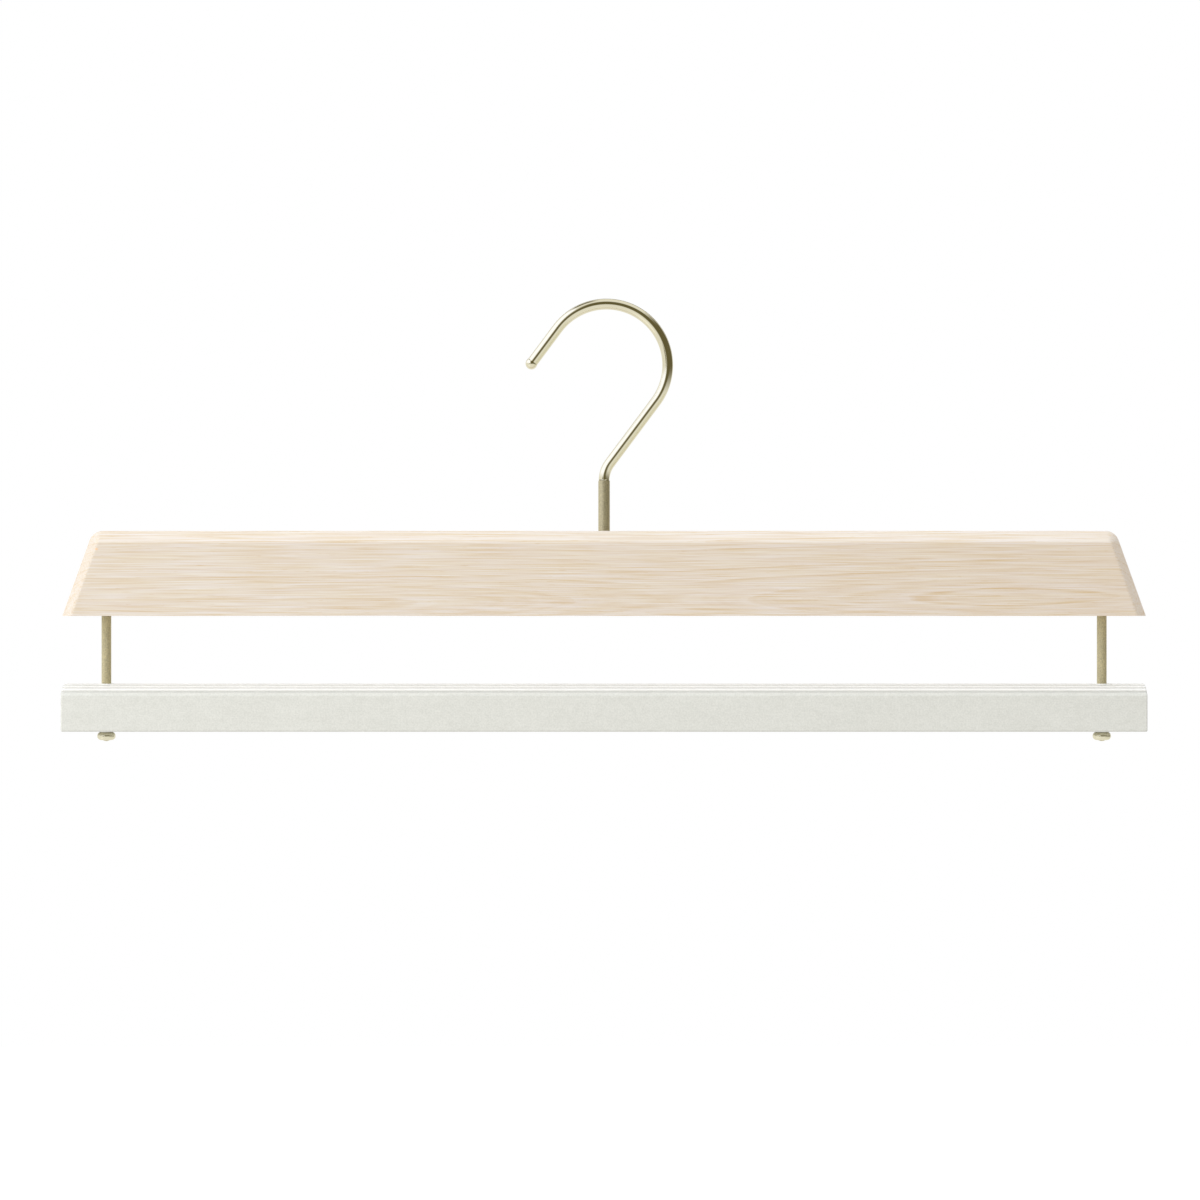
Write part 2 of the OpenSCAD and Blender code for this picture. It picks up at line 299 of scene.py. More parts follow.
def makeSatinGold(name, look, piece):
    colour, roughness = look[piece + "Colour"], look[piece + "Roughness"]
    material, tree, shader, place = newMaterial(name, **{
        "Metallic": look[piece + "Metallic"], "Specular Tint": (*look["edge"], 1.0)})
    grain = noiseAt(tree, place, (0.55, 0.55, 0.55), roughness=0.7)
    streak = noiseAt(tree, place, (0.4, 0.4, 5.0), roughness=0.6, shift=(4.0, 2.0, 0.0))
    cloud = noiseAt(tree, place, (4.0, 4.0, 4.0))
    shade = calc(tree, "MULTIPLY_ADD", grain, 1.9, calc(tree, "MULTIPLY_ADD", streak, 0.7, 0.5))
    shade = calc(tree, "MULTIPLY_ADD", cloud, 0.3, shade, clamp=True)
    dark, light = (tuple(share * c for c in colour) for share in look["satinShares"])
    tree.links.new(mixColours(tree, shade, dark, light), shader.inputs["Base Color"])
    tree.links.new(calc(tree, "MULTIPLY_ADD", grain, 0.25, roughness), shader.inputs["Roughness"])
    addBump(tree, shader, grain, 0.012 * mm)
    return material


lacquerLook = {
    "dark": (0.626, 0.613, 0.541),
    "light": (0.719, 0.703, 0.629),
    "speckleCell": (0.7, 0.7, 0.7),
    "blotchCell": (3.0, 2.4, 2.4),
    "grainCell": (14.0, 0.5, 0.5),
    "cloudCell": (24.0, 8.0, 8.0),
    "crown": 4.8,  # how high the round top is, in millimetres
    "crownFade": 0.3,  # the height over which the shade of its grooves comes in at its foot
    # Painted light: the next two entries colour the ribs near the top brighter, as if lit from above
    "ribPaintedLight": (1.29, 1.28, 1.33),
    "paintedLightFrom": (3.7, 2.6),  # below the top, where the brighter tone begins and where it is full
    "ribSpeckle": 0.35,  # how much of the speckle is left on the ribs
    "grooveDepth": 0.45,
    # Painted shade: the grooves are coloured darker where they are deeper
    "grooveShade": 0.83,
    "shadeFrom": (0.15, 0.6),  # the shares of the groove's depth where its shade begins and is full
}


def makeLacquer(look, halfThick, top):
    material, tree, shader, place = newMaterial("off-white lacquer", **{
        "IOR": 1.45, "Specular IOR Level": 0.4, "Sheen Weight": 0.3, "Sheen Roughness": 0.5})
    y, z = splitAxes(tree, place)[1:]
    # The mask for the painted light on the ribs, from a little below the top
    lift = remap(tree, z, *(top - below for below in look["paintedLightFrom"]))
    speckle = noiseAt(tree, place, look["speckleCell"], roughness=0.6)
    left = remap(tree, lift, 0.0, 1.0, 1.0, look["ribSpeckle"], smooth=False)
    speckle = product(tree, speckle, left)
    blotch = noiseAt(tree, place, look["blotchCell"], 1.0)
    grain = noiseAt(tree, place, look["grainCell"])
    cloud = noiseAt(tree, place, look["cloudCell"], 1.0)
    shade = calc(tree, "MULTIPLY_ADD", speckle, 2.4, calc(tree, "MULTIPLY_ADD", grain, 0.5, 0.5))
    shade = calc(tree, "MULTIPLY_ADD", blotch, 0.7, calc(tree, "MULTIPLY_ADD", cloud, 0.4, shade), clamp=True)
    colour = mixColours(tree, shade, look["dark"], look["light"])

    # Painted light: the ribs on the round top are coloured brighter, as if lit from above, and painted shade
    # darkens the grooves between them by their depth
    colour = mixColours(tree, 1.0, colour, mixColours(tree, lift, white, look["ribPaintedLight"]), "MULTIPLY")
    crownR = (halfThick ** 2 + look["crown"] ** 2) / (2 * look["crown"])
    crownFoot = top - look["crown"]
    depth = calc(tree, "SUBTRACT", crownR, lengthOf(tree, y, calc(tree, "SUBTRACT", z, top - crownR)))
    depth = product(tree, depth, remap(tree, z, crownFoot, crownFoot + look["crownFade"]))
    # Painted shade in the grooves, darker where they are deeper
    shadeStart, shadeFull = (share * look["grooveDepth"] for share in look["shadeFrom"])
    shaded = remap(tree, depth, shadeStart, shadeFull, 1.0, look["grooveShade"])
    tree.links.new(vectorCalc(tree, "SCALE", colour, shaded), shader.inputs["Base Color"])
    tree.links.new(calc(tree, "MULTIPLY_ADD", speckle, 0.2, 0.52), shader.inputs["Roughness"])
    addBump(tree, shader, calc(tree, "ADD", speckle, product(tree, grain, 0.5)), 0.03 * mm)
    return material


def makeNylon():
    material, tree, shader, place = newMaterial("natural nylon", **{
        "IOR": 1.53, "Subsurface Weight": 0.15, "Subsurface Radius": (0.6 * mm, 0.5 * mm, 0.4 * mm),
        "Subsurface Scale": 1.0})
    cloud = noiseAt(tree, place, (2.0, 2.0, 2.0))
    shade = calc(tree, "ADD", cloud, 0.5, clamp=True)
    colour = mixColours(tree, shade, (0.80, 0.78, 0.71), (0.87, 0.86, 0.81))
    tree.links.new(colour, shader.inputs["Base Color"])
    tree.links.new(calc(tree, "MULTIPLY_ADD", cloud, 0.15, 0.45), shader.inputs["Roughness"])
    return material


def makeTurnedMetal(name, light, dark, roughness):
    # Lathe-turned metal: fine rings square to its axis, and a few darker spots
    material, tree, shader, place = newMaterial(name, **{"Metallic": 1.0})
    rings = noiseAt(tree, place, (6.0, 6.0, 0.12))
    cloud = noiseAt(tree, place, (1.5, 1.5, 1.5), 3.0)
    shade = calc(tree, "MULTIPLY_ADD", rings, 0.6, calc(tree, "ADD", cloud, 0.5), clamp=True)
    tree.links.new(mixColours(tree, shade, dark, light), shader.inputs["Base Color"])
    tree.links.new(calc(tree, "MULTIPLY_ADD", rings, 0.2, roughness), shader.inputs["Roughness"])
    addBump(tree, shader, rings, 0.01 * mm)
    return material


woodHigh, lowerHigh = (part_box(node)[1] / mm for node in ("wood_bar", "lower_bar"))
wood = makeWood(woodLook, *woodHigh)
polishedGold = makePolishedGold(goldLook)
rodGold = makeSatinGold("satin champagne plating", goldLook, "rod")
sleeveGold = makeSatinGold("satin champagne sleeve", goldLook, "sleeve")
lacquer = makeLacquer(lacquerLook, lowerHigh.y, lowerHigh.z)
nylon = makeNylon()
zincSteel = makeTurnedMetal("zinc plated steel", (0.66, 0.66, 0.68), (0.48, 0.48, 0.51), 0.32)
brass = makeTurnedMetal("turned brass", (0.76, 0.57, 0.28), (0.60, 0.42, 0.18), 0.30)
print("materials ready")


# Shape helpers

def roundCorners(corners, steps=5):
    # Corners are (u, v) or (u, v, radius). Those with a radius become arcs of that many steps
    points = []
    for i, (u, v, *rest) in enumerate(corners):
        if not rest:
            points.append((u, v))
            continue
        radius = rest[0]
        here = Vector((u, v))
        back = (Vector(corners[i - 1][:2]) - here).normalized()
        ahead = (Vector(corners[(i + 1) % len(corners)][:2]) - here).normalized()
        half = back.angle(ahead) / 2
        centre = here + (back + ahead).normalized() * radius / math.sin(half)
        start = here + back * radius / math.tan(half) - centre
        turn = math.pi - 2 * half
        if back.cross(ahead) > 0:
            turn = -turn
        for k in range(steps + 1):
            a = turn * k / steps
            c, s = math.cos(a), math.sin(a)
            points.append((centre.x + c * start.x - s * start.y, centre.y + s * start.x + c * start.y))
    return points


def roundBox(node):
    # An upright round piece's middle and radius, and the corners of its box
    low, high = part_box(node)
    return (low.x + high.x) / 2, (high.x - low.x) / 2, low, high


def newObject(name, mesh):
    made = bpy.data.objects.new(name, mesh)
    scene.collection.objects.link(made)
    return made


def fromBmesh(name, shape):
    bmesh.ops.remove_doubles(shape, verts=shape.verts, dist=weldDistance)
    bmesh.ops.recalc_face_normals(shape, faces=shape.faces)
    mesh = bpy.data.meshes.new(name)
    shape.to_mesh(mesh)
    shape.free()
    return newObject(name, mesh)


def turned(name, outline, x=0.0, segments=72):
    # A lathe shape round the vertical through x. Its outline of (radius, z) starts and ends on the axis,
    # or is a closed loop beside it
    shape = bmesh.new()
    rings = []
    for radius, z in outline:
        if radius == 0.0:
            rings.append([shape.verts.new((x, 0.0, z))] * segments)
            continue
        turns = [math.tau * k / segments for k in range(segments)]
        rings.append([shape.verts.new((x + radius * math.cos(a), radius * math.sin(a), z)) for a in turns])
    if all(radius > 0.0 for radius, z in outline):
        rings.append(rings[0])
    for low, high in zip(rings, rings[1:]):
        for k in range(segments):
            n = (k + 1) % segments
            corners = list(dict.fromkeys((low[k], low[n], high[n], high[k])))
            if len(corners) > 2:
                shape.faces.new(corners)
    return fromBmesh(name, shape)


def settled(piece):
    # The piece as a plain mesh, with its modifiers applied
    bpy.context.view_layer.update()
    name = piece.name
    evaluated = piece.evaluated_get(bpy.context.evaluated_depsgraph_get())
    mesh = bpy.data.meshes.new_from_object(evaluated)
    bpy.data.objects.remove(piece)
    mesh.name = name
    return newObject(name, mesh)


def carve(piece, cutters, operation="DIFFERENCE"):
    for cutter in cutters:
        modifier = piece.modifiers.new("carve", "BOOLEAN")
        modifier.operation = operation
        modifier.solver = "EXACT"
        modifier.object = cutter
    piece = settled(piece)
    for cutter in cutters:
        bpy.data.objects.remove(cutter)
    return piece


def finishPiece(piece, material, node, body, sharp=30.0):
    # Welds and shades the piece, and puts it in place of its CAD node
    mesh = piece.data
    shape = bmesh.new()
    shape.from_mesh(mesh)
    bmesh.ops.remove_doubles(shape, verts=shape.verts, dist=weldDistance)
    bmesh.ops.recalc_face_normals(shape, faces=shape.faces)
    shape.to_mesh(mesh)
    shape.free()
    mesh.materials.clear()
    mesh.materials.append(material)
    mesh.shade_smooth()
    mesh.set_sharp_from_angle(angle=math.radians(sharp))
    weighted = piece.modifiers.new("normals", "WEIGHTED_NORMAL")
    weighted.keep_sharp = True
    piece = settled(piece)
    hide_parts(node)
    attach(piece, body)


# Geometry trees

def newTree(name, inputs):
    tree = bpy.data.node_groups.new(name, "GeometryNodeTree")
    tree.interface.new_socket("Geometry", in_out="INPUT", socket_type="NodeSocketGeometry")
    tree.interface.new_socket("Geometry", in_out="OUTPUT", socket_type="NodeSocketGeometry")
    for label, kind in inputs:
        tree.interface.new_socket(label, in_out="INPUT", socket_type="NodeSocket" + kind)
    return tree, addNode(tree, "NodeGroupInput").outputs


def closeTree(tree, geometry, material):
    real = addNode(tree, "GeometryNodeRealizeInstances", inputs={"Geometry": geometry})
    coated = addNode(tree, "GeometryNodeSetMaterial", inputs={
        "Geometry": real.outputs[0], "Material": material})
    addNode(tree, "NodeGroupOutput", inputs={0: coated.outputs[0]})
    return tree


def runTree(piece, tree, values):
    modifier = piece.modifiers.new(tree.name, "NODES")
    modifier.node_group = tree
    for item in tree.interface.items_tree:
        if item.in_out == "INPUT" and item.name in values:
            modifier[item.identifier] = values[item.name]
    return settled(piece)


def makeWireTree():
    # A round wire along the given curve. The curve's own radius swells or thins it
    tree, given = newTree("wire along a path", [
        ("Wire Diameter", "Float"), ("Sides", "Int"), ("Material", "Material")])
    ring = addNode(tree, "GeometryNodeCurvePrimitiveCircle", inputs={
        "Resolution": given["Sides"], "Radius": product(tree, given["Wire Diameter"], 0.5)})
    swell = addNode(tree, "GeometryNodeInputRadius").outputs[0]
    swept = addNode(tree, "GeometryNodeCurveToMesh", inputs={
        "Curve": given["Geometry"], "Profile Curve": ring.outputs[0], "Scale": swell, "Fill Caps": True})
    return closeTree(tree, swept.outputs[0], given["Material"])


def makeThreadTree():
    # Cuts a screw thread into a round shaft between two heights, faded out at both
    tree, given = newTree("screw thread", [
        ("Axis X", "Float"), ("Crest Radius", "Float"), ("Thread Depth", "Float"), ("Pitch", "Float"),
        ("Low End", "Float"), ("High End", "Float"), ("Material", "Material")])
    x, y, z = splitAxes(tree, addNode(tree, "GeometryNodeInputPosition").outputs[0])
    fromAxis = calc(tree, "SUBTRACT", x, given["Axis X"])
    radius = lengthOf(tree, fromAxis, y)
    around = calc(tree, "DIVIDE", calc(tree, "ARCTAN2", y, fromAxis), math.tau)
    phase = calc(tree, "FRACT", calc(tree, "SUBTRACT", calc(tree, "DIVIDE", z, given["Pitch"]), around))
    flank = calc(tree, "ABSOLUTE", calc(tree, "MULTIPLY_ADD", phase, 2.0, -1.0))
    fade = 0.3 * mm
    fadeLow = remap(tree, calc(tree, "SUBTRACT", z, given["Low End"]), 0.0, fade)
    fadeHigh = remap(tree, calc(tree, "SUBTRACT", given["High End"], z), 0.0, fade)
    deep = product(tree, flank, given["Thread Depth"], fadeLow, fadeHigh)
    share = product(tree, calc(tree, "DIVIDE", deep, radius), -1.0)
    inward = vectorCalc(tree, "SCALE", joinAxes(tree, fromAxis, y, 0.0), share)
    onCrest = addNode(tree, "FunctionNodeCompare", {"data_type": "FLOAT", "operation": "GREATER_THAN"}, {
        0: radius, 1: calc(tree, "SUBTRACT", given["Crest Radius"], 0.01 * mm)})
    pushed = addNode(tree, "GeometryNodeSetPosition", inputs={
        "Geometry": given["Geometry"], "Selection": onCrest.outputs[0], "Offset": inward})
    return closeTree(tree, pushed.outputs[0], given["Material"])


def makeRibTree():
    # Grooves along a bar's round top, a pitch apart on both sides of its middle
    tree, given = newTree("ribs along a round top", [
        ("Crown Radius", "Float"), ("Crown Centre Z", "Float"), ("Groove Pitch", "Float"),
        ("Grooves Each Side", "Int"), ("Groove Width", "Float"), ("Groove Depth", "Float"),
        ("Wall Slope", "Float"), ("Softness", "Float"), ("Material", "Material")])
    y, z = splitAxes(tree, addNode(tree, "GeometryNodeInputPosition").outputs[0])[1:]
    lean = calc(tree, "ARCTAN2", y, calc(tree, "SUBTRACT", z, given["Crown Centre Z"]))
    fromMiddle = product(tree, calc(tree, "ABSOLUTE", lean), given["Crown Radius"])
    steps = calc(tree, "DIVIDE", fromMiddle, given["Groove Pitch"])
    offMiddle = calc(tree, "ABSOLUTE", calc(tree, "SUBTRACT", calc(tree, "FRACT", steps), 0.5))
    offMiddle = product(tree, offMiddle, given["Groove Pitch"])
    wall = calc(tree, "SUBTRACT", product(tree, given["Groove Width"], 0.5), offMiddle)
    wall = product(tree, wall, given["Wall Slope"])
    deep = calc(tree, "SMOOTH_MIN", wall, given["Groove Depth"], given["Softness"])
    deep = calc(tree, "SMOOTH_MAX", deep, 0.0, given["Softness"])
    deep = product(tree, deep, calc(tree, "LESS_THAN", steps, given["Grooves Each Side"]))
    outward = joinAxes(tree, 0.0, calc(tree, "SINE", lean), calc(tree, "COSINE", lean))
    inward = vectorCalc(tree, "SCALE", outward, product(tree, deep, -1.0))
    pushed = addNode(tree, "GeometryNodeSetPosition", inputs={
        "Geometry": given["Geometry"], "Offset": inward})
    return closeTree(tree, pushed.outputs[0], given["Material"])


wireTree = makeWireTree()
threadTree = makeThreadTree()
ribTree = makeRibTree()
print("geometry trees ready")


# Wooden bar

woodBar = {
    "endLean": math.radians(19.8),
    "topBevel": 4.6 * mm,
    "endBevel": 3.9 * mm,
    "bevelDepth": 4.6 * mm,
    "cornerR": 5.8 * mm,
    "faceCornerR": 1.8 * mm,
    "softEdge": 2.2 * mm,  # round between the face and the bevel
    "pastSoftEdge": 0.05 * mm,
    "rimEdge": 0.8 * mm,  # round between the bevel and the rim
    "arris": 0.4 * mm,  # round along the underside
    "cornerSteps": 16,
    "counterboreR": 5.5 * mm,
    "counterboreDepth": 12 * mm,
    "holeClear": 0.03 * mm,
    "holeChamfer": 0.3 * mm,
}


def woodOutline(size, low, high, share):
    # The bar's outline from the front: share 0 at the rim, 1 at the edge of the face
    lean = size["endLean"]
    height = high.z - low.z - size["topBevel"] * share
    foot = high.x - size["endBevel"] * share / math.cos(lean)
    r = size["cornerR"] + (size["faceCornerR"] - size["cornerR"]) * share
    arcX = foot - height * math.tan(lean) - r * math.tan((math.pi / 2 - lean) / 2)
    turns = [lean + (math.pi / 2 - lean) * k / size["cornerSteps"] for k in range(size["cornerSteps"] + 1)]
    right = [(foot, 0.0)] + [(arcX + r * math.cos(a), height - r + r * math.sin(a)) for a in turns]
    return right + [(-x, z) for x, z in reversed(right)]


def makeWoodBar(size):
    low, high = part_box("wood_bar")
    bevel, soft = size["topBevel"], size["softEdge"]
    deepest = bevel + soft * math.tan(math.pi / 8) + size["pastSoftEdge"]
    rim = high.y - size["bevelDepth"]
    section = roundCorners([
        (deepest, low.y), (bevel, low.y, soft), (0.0, -rim, size["rimEdge"]),
        (0.0, rim, size["rimEdge"]), (bevel, high.y, soft), (deepest, high.y)], steps=8)
    shape = bmesh.new()
    rings = []
    for inset, y in section:
        outline = woodOutline(size, low, high, inset / bevel)
        rings.append([shape.verts.new((x, y, low.z + z)) for x, z in outline])
    for near, far in zip(rings, rings[1:]):
        for k in range(len(near) - 1):
            shape.faces.new((near[k], near[k + 1], far[k + 1], far[k]))
    shape.faces.new(rings[0])
    shape.faces.new(rings[-1])
    base = shape.faces.new([ring[0] for ring in rings] + [ring[-1] for ring in reversed(rings)])
    bmesh.ops.bevel(
        shape, geom=list(base.edges), offset=size["arris"], segments=3, profile=0.5, affect="EDGES")
    bar = fromBmesh("woodenBar", shape)

    def boreOutline(levels):
        # Levels are (radius, z) from the mouth upwards, with a chamfer at the mouth
        chamfer = size["holeChamfer"]
        mouth = levels[0][0]
        below = low.z - cutPast
        z = low.z + chamfer
        points = [(0.0, below), (mouth + chamfer, below), (mouth + chamfer, low.z), (mouth, z)]
        for radius, top in levels:
            points += [(radius, z), (radius, top)]
            z = top
        return list(dict.fromkeys(points + [(0.0, z)]))

    clear = size["holeClear"]
    shelf = low.z + size["counterboreDepth"]
    cutters = [turned("bore", boreOutline([
        (size["counterboreR"], shelf), (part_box("hook_sleeve")[1].x + clear, high.z + cutPast)]))]
    for side in sides:
        x, insertR, *corners = roundBox(side + "_rod_insert")
        cutters.append(turned("bore", boreOutline([(insertR + clear, corners[1].z + clear)]), x))
    return carve(bar, cutters)


finishPiece(makeWoodBar(woodBar), wood, "wood_bar", "hanger_body", 25.0)
print("wooden bar done")


# Hook: wire, ball tip, neck and the shank that turns in the sleeve

hookWire = {
    "runLean": math.radians(36.7),
    "innerD": 46.5 * mm,
    "offset": 1 * mm,
    "tipRun": 18.1 * mm,
    "ballR": 2.45 * mm,
    "neckR": 12 * mm,
    "shankR": 1.6 * mm,
    "shoulderRound": 0.2 * mm,
    "threadLength": 6.5 * mm,
    "threadPitch": 0.5 * mm,
    "threadDepth": 0.27 * mm,
    "endChamfer": 0.35 * mm,
    "sides": 96,
    "arcStep": math.radians(0.75),
    "ballSteps": 22,
    "shoulderSteps": 4,
    "stepsPerTurn": 12,  # along the thread
}


def hookPath(size):
    # Points along the wire's middle from the tip to the shank's end, each with its radius there
    low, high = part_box("hook")
    wireR = high.z / 2
    r = size["innerD"] / 2 + wireR
    lean = size["runLean"]
    out = Vector((math.cos(lean), -math.sin(lean)))  # across the hook's mouth
    down = Vector((-math.sin(lean), -math.cos(lean)))  # down its straight runs
    middle = Vector((size["offset"], -size["innerD"] / 2))
    points = []

    ball = size["ballR"]
    tip = middle - out * r + down * size["tipRun"]
    first = math.pi - math.asin(wireR / ball)
    for k in range(size["ballSteps"] + 1):
        a = first * k / size["ballSteps"]
        points.append((tip + down * ball * math.cos(a), ball * math.sin(a)))
    points.append((middle - out * r, wireR))

    count = round(math.pi / size["arcStep"])
    for k in range(1, count):
        a = math.pi * k / count
        points.append((middle - out * r * math.cos(a) - down * r * math.sin(a), wireR))
    elbowCut = size["neckR"] * math.tan(lean / 2)
    topX = size["offset"] + r * math.cos(lean)
    run = topX / math.sin(lean) - elbowCut
    points.append((middle + out * r, wireR))
    bendStart = middle + out * r + down * run
    bendMiddle = bendStart + out * size["neckR"]
    count = round(lean / size["arcStep"])
    for k in range(count + 1):
        a = lean * k / count
        arm = Vector((-math.cos(lean - a), math.sin(lean - a))) * size["neckR"]
        points.append((bendMiddle + arm, wireR))

    neckZ = points[-1][0].y
    edge = size["shoulderRound"]
    points[-1] = (Vector((0.0, neckZ + edge)), wireR)
    for k in range(1, size["shoulderSteps"] + 1):
        a = math.pi / 2 * k / size["shoulderSteps"]
        points.append((Vector((0.0, neckZ + edge - edge * math.sin(a))), wireR - edge + edge * math.cos(a)))
    shank = size["shankR"]
    points.append((Vector((0.0, neckZ - 0.002 * mm)), shank))  # a step in so short a way stays square
    top = low.z + size["threadLength"]
    chamfer = size["endChamfer"]
    rings = round((size["threadLength"] - chamfer) / (size["threadPitch"] / size["stepsPerTurn"]))
    for k in range(rings + 1):
        points.append((Vector((0.0, top + (low.z + chamfer - top) * k / rings)), shank))
    points.append((Vector((0.0, low.z)), shank - chamfer))
    return points, wireR


def makeHook(size):
    points, wireR = hookPath(size)
    curve = bpy.data.curves.new("hookPath", "CURVE")
    curve.dimensions = "3D"
    spline = curve.splines.new("POLY")
    spline.points.add(len(points) - 1)
    for point, (place, radius) in zip(spline.points, points):
        point.co = (place.x, 0.0, place.y, 1.0)
        point.radius = max(radius / wireR, 0.0005)  # the tip stays open a hair, so its faces have an area
    hook = runTree(newObject("hookWire", curve), wireTree, {
        "Wire Diameter": 2 * wireR, "Sides": size["sides"], "Material": polishedGold})
    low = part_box("hook")[0]
    return runTree(hook, threadTree, {
        "Axis X": 0.0, "Crest Radius": size["shankR"], "Thread Depth": size["threadDepth"],
        "Pitch": size["threadPitch"], "Low End": low.z, "High End": low.z + size["threadLength"],
        "Material": polishedGold})


finishPiece(makeHook(hookWire), polishedGold, "hook", "hook_body", 14.0)

sleeveShape = {"boreR": 1.66 * mm, "rimRound": 0.06 * mm}


def makeTube(name, x, r, low, high, size, steps=4):
    # A sleeve, washer or ring round the vertical through x, with its four rims rounded
    bore, edge = size["boreR"], size["rimRound"]
    outline = [(bore, low.z, edge), (r, low.z, edge), (r, high.z, edge), (bore, high.z, edge)]
    return turned(name, roundCorners(outline, steps), x)


sleeveLow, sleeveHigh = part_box("hook_sleeve")
hookSleeve = makeTube("hookSleeve", 0.0, sleeveHigh.x, sleeveLow, sleeveHigh, sleeveShape, 5)
finishPiece(hookSleeve, sleeveGold, "hook_sleeve", "hanger_body")
print("hook and sleeve done")


# Washer, lock nut and its nylon ring, in the counterbore under the wood

hookWasherShape = {"boreR": 1.63 * mm, "rimRound": 0.12 * mm}
nutRingShape = {"boreR": 1.63 * mm, "rimRound": 0.15 * mm}
lockNut = {
    "threadBoreR": 1.63 * mm,
    "chamferAngle": math.radians(30),
    "faceInset": 0.084 * mm,  # how far inside the flats the round end faces stop
    "edge": 0.12 * mm,
    "ringHousingR": 2.26 * mm,
    "ringHousingDepth": 1.1 * mm,
}


def makeLockNut(size):
    low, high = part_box("hook_lock_nut")
    corner = high.x
    flat = corner * math.cos(math.pi / 6)
    shape = bmesh.new()
    hexagon = [(corner * math.cos(math.pi / 3 * k), corner * math.sin(math.pi / 3 * k)) for k in range(6)]
    ends = [[shape.verts.new((x, y, z)) for x, y in hexagon] for z in (low.z, high.z)]
    for end in ends:
        shape.faces.new(end)
    for k in range(6):
        n = (k + 1) % 6
        shape.faces.new((ends[0][k], ends[0][n], ends[1][n], ends[1][k]))
    nut = fromBmesh("hookLockNut", shape)
    face = flat - size["faceInset"]
    wide = corner + cutPast
    slope = (wide - face) * math.tan(size["chamferAngle"])
    envelope = turned("envelope", [
        (0.0, low.z), (face, low.z), (wide, low.z + slope),
        (wide, high.z - slope), (face, high.z), (0.0, high.z)])
    nut = carve(nut, [envelope], "INTERSECT")
    bore, housing, depth = size["threadBoreR"], size["ringHousingR"], size["ringHousingDepth"]
    edge = size["edge"]
    below, above = low.z - cutPast, high.z + cutPast
    bored = turned("bore", [
        (0.0, below), (housing + edge, below), (housing + edge, low.z), (housing, low.z + edge),
        (housing, low.z + depth), (bore, low.z + depth), (bore, high.z - 2 * edge), (bore + 2 * edge, high.z),
        (bore + 2 * edge, above), (0.0, above)])
    return carve(nut, [bored])


hookWasher = makeTube("hookWasher", 0.0, *roundBox("hook_washer")[1:], hookWasherShape)
finishPiece(hookWasher, zincSteel, "hook_washer", "hook_body")
finishPiece(makeLockNut(lockNut), zincSteel, "hook_lock_nut", "hook_body", 20.0)
nutRing = makeTube("lockNutRing", 0.0, *roundBox("lock_nut_ring")[1:], nutRingShape)
finishPiece(nutRing, nylon, "lock_nut_ring", "hook_body")
print("lock nut done")


# Rods, their inserts in the wood, and the washers and button nuts under the lower bar

rodShape = {
    "footR": 1.5 * mm,
    "topChamfer": 0.4 * mm,
    "shoulderEdge": 0.12 * mm,
    "threadPitch": 0.5 * mm,
    "threadDepth": 0.25 * mm,
    "threadPast": 0.2 * mm,  # how far the cutting runs past the dome's rim
    "threadShort": 0.4 * mm,  # and how far short of the shoulder it stops
    "domeSteps": 8,
    "stepsPerTurn": 10,  # along the thread
}


def makeRod(side, size):
    x, r, low, high = roundBox(side + "_rod")
    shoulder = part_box(side + "_nut_washer")[1].z
    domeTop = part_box(side + "_end_nut")[0].z
    foot = size["footR"]
    proud = domeTop - low.z
    ball = (foot ** 2 + proud ** 2) / (2 * proud)
    turns = [math.asin(foot / ball) * k / size["domeSteps"] for k in range(size["domeSteps"] + 1)]
    dome = [(ball * math.sin(a), low.z + ball - ball * math.cos(a)) for a in turns]
    rings = round((shoulder - domeTop) / (size["threadPitch"] / size["stepsPerTurn"]))
    thread = [(foot, domeTop + (shoulder - domeTop) * k / rings) for k in range(1, rings + 1)]
    upper = roundCorners([
        (foot, shoulder), (r, shoulder, size["shoulderEdge"]), (r, high.z - size["topChamfer"]),
        (r - size["topChamfer"], high.z), (0.0, high.z)])
    rod = turned(side + "Rod", dome + thread + upper[1:], x)
    return runTree(rod, threadTree, {
        "Axis X": x, "Crest Radius": foot, "Thread Depth": size["threadDepth"], "Pitch": size["threadPitch"],
        "Low End": domeTop - size["threadPast"], "High End": shoulder - size["threadShort"],
        "Material": rodGold})


insertShape = {
    "boreR": 2.03 * mm,
    "edge": 0.35 * mm,
    "pitch": 2 * mm,
    "depth": 0.4 * mm,
    "stepsPerTurn": 14,
}


def makeInsert(side, size):
    x, r, low, high = roundBox(side + "_rod_insert")
    bore, edge = size["boreR"], size["edge"]
    rings = round((high.z - low.z - 2 * edge) / (size["pitch"] / size["stepsPerTurn"]))
    wall = [(r, low.z + edge + (high.z - low.z - 2 * edge) * k / rings) for k in range(rings + 1)]
    outline = [(bore + edge / 2, low.z), (r - edge, low.z)] + wall + [
        (r - edge, high.z), (bore + edge / 2, high.z), (bore, high.z - edge / 2), (bore, low.z + edge / 2)]
    return runTree(turned(side + "RodInsert", outline, x), threadTree, {
        "Axis X": x, "Crest Radius": r, "Thread Depth": size["depth"], "Pitch": size["pitch"],
        "Low End": low.z + edge, "High End": high.z - edge, "Material": brass})


buttonShape = {"boreR": 1.53 * mm, "rimRound": 1.6 * mm, "boreEdge": 0.15 * mm}
nutWasherShape = {"boreR": 1.53 * mm, "rimRound": 0.15 * mm}


def makeButtonNut(side, size):
    x, r, low, high = roundBox(side + "_end_nut")
    outline = roundCorners([
        (size["boreR"], low.z, size["boreEdge"]), (r, low.z, size["rimRound"]),
        (r, high.z, size["rimRound"]), (size["boreR"], high.z, size["boreEdge"])], steps=12)
    return turned(side + "ButtonNut", outline, x)


